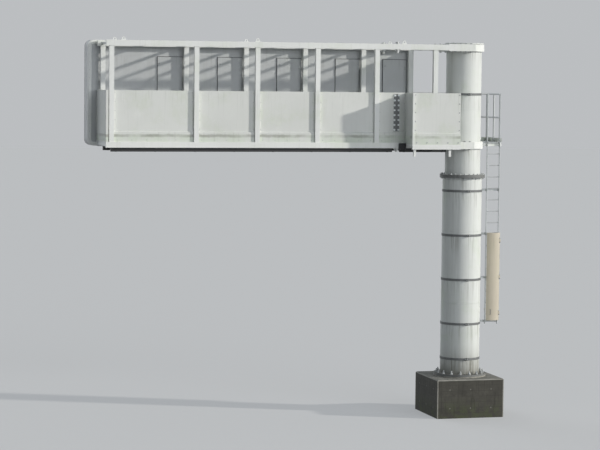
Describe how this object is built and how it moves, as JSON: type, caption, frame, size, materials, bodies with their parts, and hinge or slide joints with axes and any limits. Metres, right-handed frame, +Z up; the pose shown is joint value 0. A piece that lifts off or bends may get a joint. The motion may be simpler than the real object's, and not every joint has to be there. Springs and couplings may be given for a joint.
{
  "type": "overhead sign gantry",
  "caption": "Cantilever sign gantry: a round steel column on a concrete plinth carries a walkway boom with solid parapets and a long sign housing; a fixed ladder has a hinged guard.",
  "frame": {"origin": "middle of the plinth's underside, on the column's axis", "axes": "-X along the boom over the road, +X the verge side; -Y the rear, maintenance side; +Y the display side; +Z up"},
  "size_m": [10.855, 2.65, 9.6569],
  "materials": {
    "concrete": "weathered cast concrete",
    "grout": "grout",
    "base_steel": "painted steel plate",
    "column_paint": "light grey paint, satin",
    "frame_paint": "near-white paint, satin",
    "panel_paint": "light grey paint, satin",
    "sign_paint": "mid grey paint",
    "display": "matt black display face",
    "bezel": "matt black paint",
    "galvanised": "galvanised steel",
    "band_steel": "weathered galvanised strap",
    "duct": "weathered black paint",
    "guard_paint": "cream paint"
  },
  "bodies": {
    "gantry": {"plinth": "concrete", "grout_bed": "grout", "base_plate": "base_steel", "lower_column": "column_paint", "lower_flange": "base_steel", "upper_flange": "base_steel", "upper_column": "column_paint", "column_cap": "column_paint", "bottom_collar": "frame_paint", "top_collar": "frame_paint", "column_bands": "band_steel", "near_top_chord": "frame_paint", "near_bottom_chord": "frame_paint", "near_posts": "frame_paint", "far_top_chord": "frame_paint", "far_bottom_chord": "frame_paint", "far_posts": "frame_paint", "cross_bars": "frame_paint", "floor_beams": "galvanised", "walkway_floor": "galvanised", "cable_ducts": "duct", "boom_end_plates": "frame_paint", "stub_end_plates": "frame_paint", "parapet_panel_1": "panel_paint", "parapet_panel_2": "panel_paint", "parapet_panel_3": "panel_paint", "parapet_panel_4": "panel_paint", "parapet_panel_5": "panel_paint", "splice_strip": "galvanised", "end_parapet": "panel_paint", "lifting_lugs": "frame_paint", "bay_bearers": "frame_paint", "bay_edge_beam": "frame_paint", "bay_post": "frame_paint", "bay_floor": "galvanised", "bay_rear_panel": "panel_paint", "bay_side_panels": "panel_paint", "sign_housing": "sign_paint", "sign_doors": "sign_paint", "sign_face": "display", "sign_bezel": "bezel", "sign_brackets": "frame_paint", "ladder_stiles": "galvanised", "ladder_rungs": "galvanised", "ladder_brackets": "galvanised", "guard_hinges": "band_steel", "landing_bearers": "frame_paint", "landing_floor": "galvanised", "landing_side_rail": "galvanised", "landing_end_rail": "galvanised", "landing_toe_boards": "panel_paint"},
    "ladder_guard": {"ladder_guard": "guard_paint"}
  },
  "joints": [
    {"name": "guard_hinge", "type": "hinge", "parent": "gantry", "child": "ladder_guard", "pos_m": [1.12, 0.146, 3.55], "axis": [0, 0, 1], "range_deg": [0, 100]}
  ]
}
